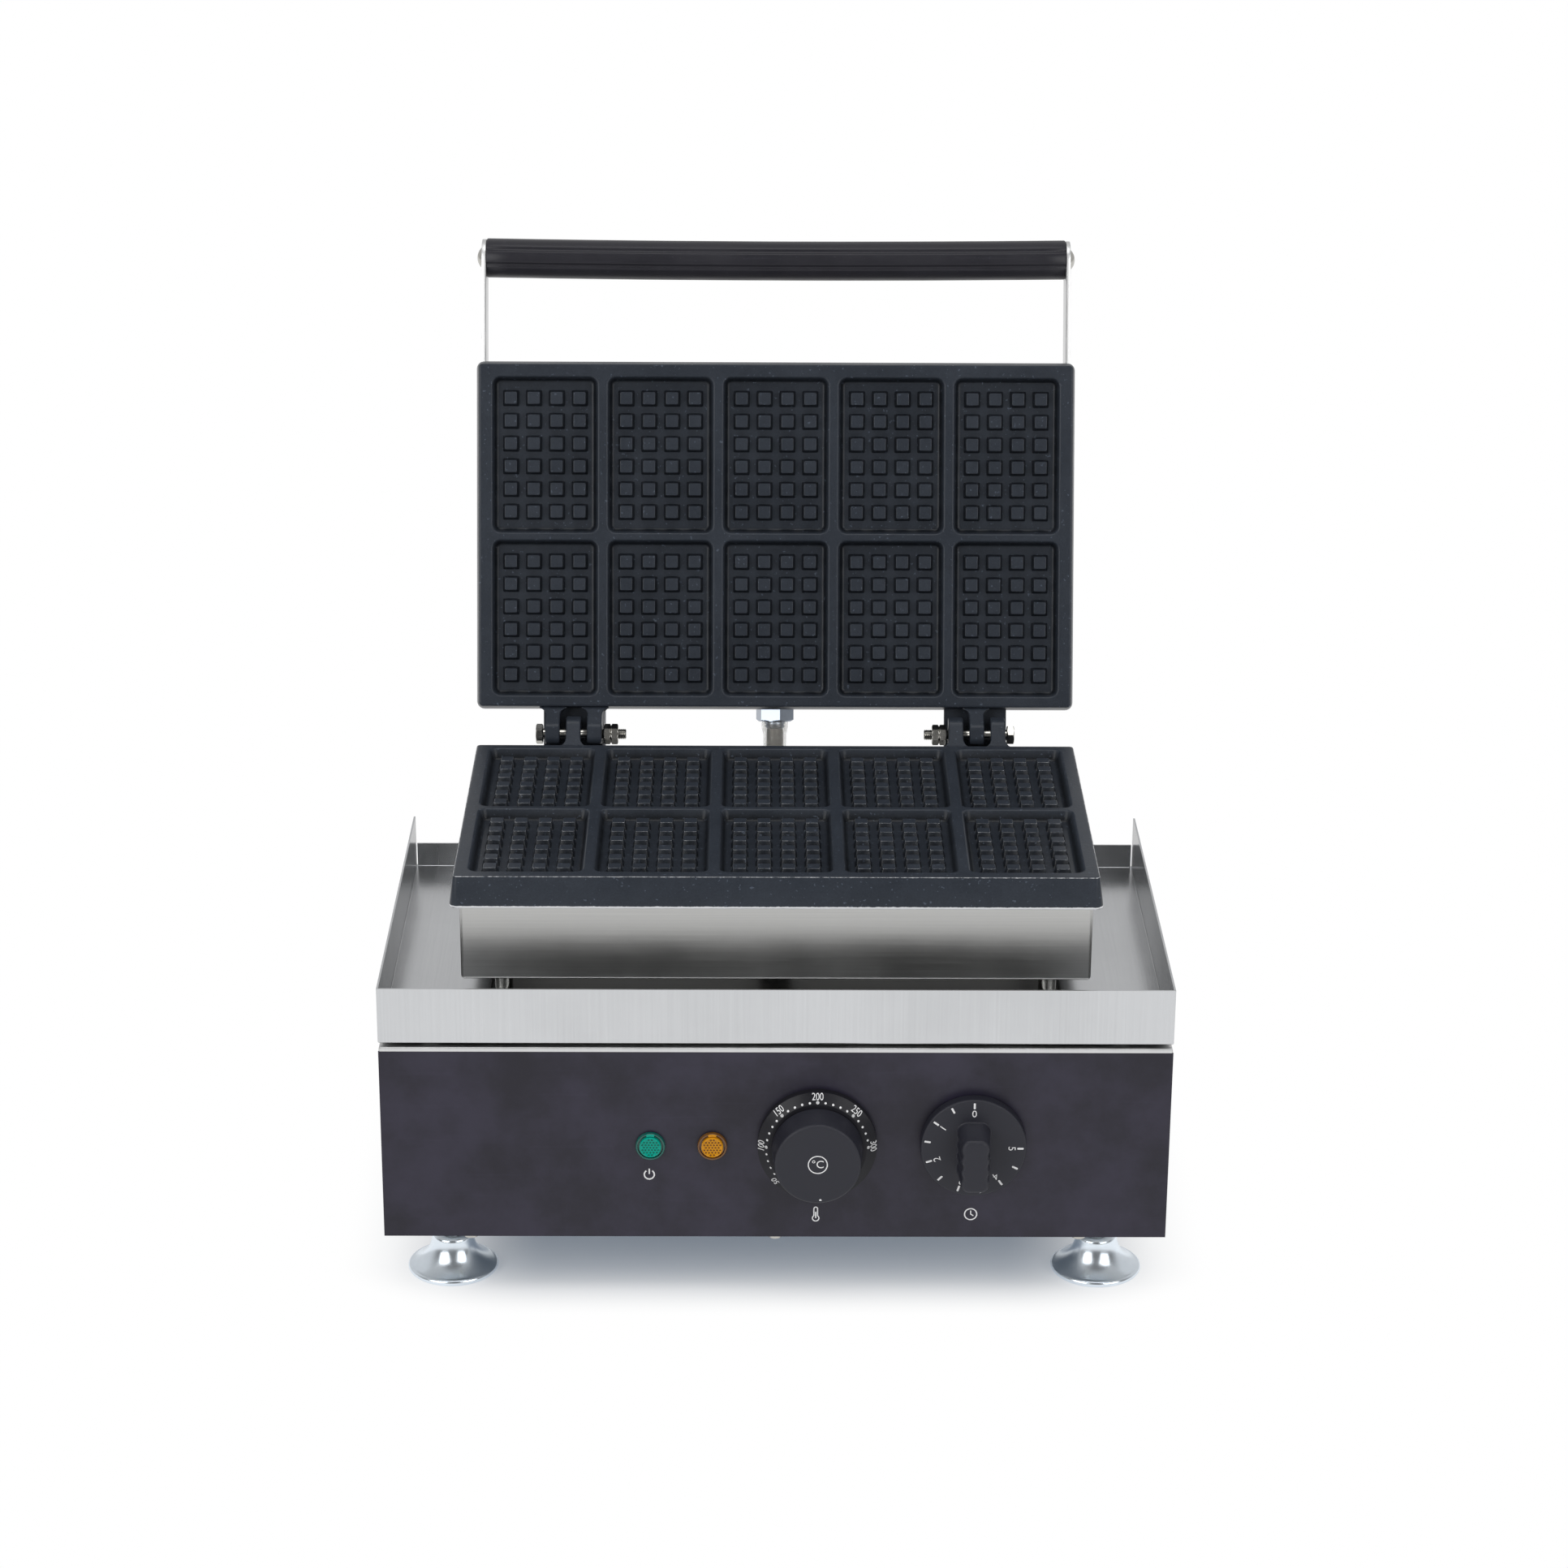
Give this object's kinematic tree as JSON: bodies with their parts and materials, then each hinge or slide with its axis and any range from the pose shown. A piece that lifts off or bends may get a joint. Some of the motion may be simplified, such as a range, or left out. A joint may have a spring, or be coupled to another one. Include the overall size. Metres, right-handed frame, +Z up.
{
  "type": "waffle maker",
  "caption": "Table-top waffle maker: a sheet-steel base with dials and drip tray under two hinged cast plates with rectangular waffle pockets and a bar handle.",
  "frame": {"origin": "on the floor, under the middle of the whole machine with its lid open", "axes": "+X to the machine's right as seen from its front, +Y to its back, +Z up"},
  "size_m": [0.41, 0.3817, 0.4834],
  "materials": {
    "stainless": "brushed stainless sheet",
    "panel": "dark satin front panel",
    "nonstick": "cast, with a matt black non-stick coat",
    "chrome": "polished chrome",
    "zinc": "zinc-plated fasteners",
    "knob": "satin black moulded plastic",
    "grip": "polished black phenolic",
    "green_lens": "clear green lens",
    "amber_lens": "clear amber lens",
    "plastic": "black moulded plastic",
    "heater": "heat-dulled steel",
    "wool": "mineral wool",
    "copper": "bare copper tube",
    "loom": "silicone sleeve",
    "rubber": "black rubber",
    "conduit": "steel conduit"
  },
  "bodies": {
    "base": {"base_shell": "stainless", "bottom_plate": "stainless", "tray_runners": "stainless", "lower_casing": "stainless", "support_posts": "stainless", "wire_sleeve": "stainless", "front_panel": "panel", "lower_plate": "nonstick", "bottom_screws": "zinc", "foot_nuts": "zinc", "foot_locknuts": "zinc", "control_nuts": "zinc", "post_nuts": "zinc", "lower_clamp_bars": "zinc", "lower_clamp_screws": "zinc", "hinge_bolts": "zinc", "hinge_nuts": "zinc", "thermostat_bezel": "knob", "green_lamp": "green_lens", "amber_lamp": "amber_lens", "lamp_nuts": "plastic", "lamp_sockets": "plastic", "thermostat_body": "plastic", "timer_body": "plastic", "terminal_block": "plastic", "cable_gland": "plastic", "gland_nut": "plastic", "lower_heating_element": "heater", "lower_insulation": "wool", "thermostat_capillary": "copper", "control_loom": "loom", "conduit_grommet": "rubber", "lid_conduit": "conduit"},
    "lid": {"upper_plate": "nonstick", "upper_casing": "stainless", "upper_heating_element": "heater", "upper_clamp_bars": "zinc", "upper_clamp_screws": "zinc", "upper_insulation": "wool", "lid_screws": "zinc", "handle_arm_left": "stainless", "handle_arm_right": "stainless", "handle_grip": "grip", "grip_screws": "zinc", "arm_screws": "zinc", "arm_nuts": "zinc", "conduit_fitting": "zinc", "conduit_locknut": "zinc"},
    "drip_tray": {"drip_tray": "stainless"},
    "thermostat_knob": {"thermostat_knob": "knob", "thermostat_spindle": "zinc"},
    "timer_knob": {"timer_knob": "knob", "timer_spindle": "zinc"},
    "foot_front_left": {"foot_front_left": "chrome"},
    "foot_front_right": {"foot_front_right": "chrome"},
    "foot_rear_left": {"foot_rear_left": "chrome"},
    "foot_rear_right": {"foot_rear_right": "chrome"}
  },
  "joints": [
    {"name": "lid_hinge", "type": "hinge", "parent": "base", "child": "lid", "pos_m": [0, 0.0682, 0.227], "axis": [1, 0, 0], "range_deg": [0, 108], "deforming": ["lid_conduit"]},
    {"name": "drip_tray_slide", "type": "slide", "parent": "base", "child": "drip_tray", "axis": [0, -1, 0], "range_m": [0, 0.25]},
    {"name": "thermostat_turn", "type": "hinge", "parent": "base", "child": "thermostat_knob", "pos_m": [0.0216, -0.1634, 0.0871], "axis": [0, 1, 0], "range_deg": [0, 270]},
    {"name": "timer_turn", "type": "hinge", "parent": "base", "child": "timer_knob", "pos_m": [0.1027, -0.1634, 0.0875], "axis": [0, 1, 0], "range_deg": [0, 270]},
    {"name": "foot_front_left_screw", "type": "slide", "parent": "base", "child": "foot_front_left", "axis": [0, 0, -1], "range_m": [0, 0.01]},
    {"name": "foot_front_right_screw", "type": "slide", "parent": "base", "child": "foot_front_right", "axis": [0, 0, -1], "range_m": [0, 0.01]},
    {"name": "foot_rear_left_screw", "type": "slide", "parent": "base", "child": "foot_rear_left", "axis": [0, 0, -1], "range_m": [0, 0.01]},
    {"name": "foot_rear_right_screw", "type": "slide", "parent": "base", "child": "foot_rear_right", "axis": [0, 0, -1], "range_m": [0, 0.01]}
  ]
}
